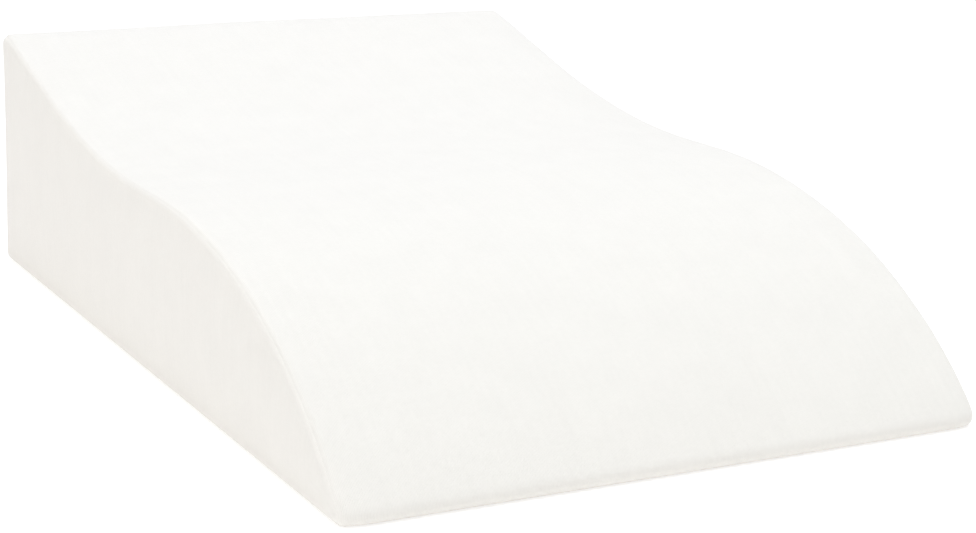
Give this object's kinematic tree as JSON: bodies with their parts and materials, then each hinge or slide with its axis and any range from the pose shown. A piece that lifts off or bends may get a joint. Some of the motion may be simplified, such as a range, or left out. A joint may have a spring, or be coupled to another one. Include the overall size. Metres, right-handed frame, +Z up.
{
  "type": "leg pillow",
  "caption": "Foam leg pillow in a smooth off-white cover, rising in an S-curve from a low rounded nose over a level plateau to a high heel end.",
  "frame": {"origin": "middle of the flat base, on the surface that the pillow lies on", "axes": "+Z up, +Y from the low nose to the high heel end, +X across the pillow"},
  "size_m": [0.4458, 0.7004, 0.19],
  "materials": {
    "cover": "matte knit"
  },
  "bodies": {
    "root": {"leg_pillow": "cover"}
  },
  "joints": []
}
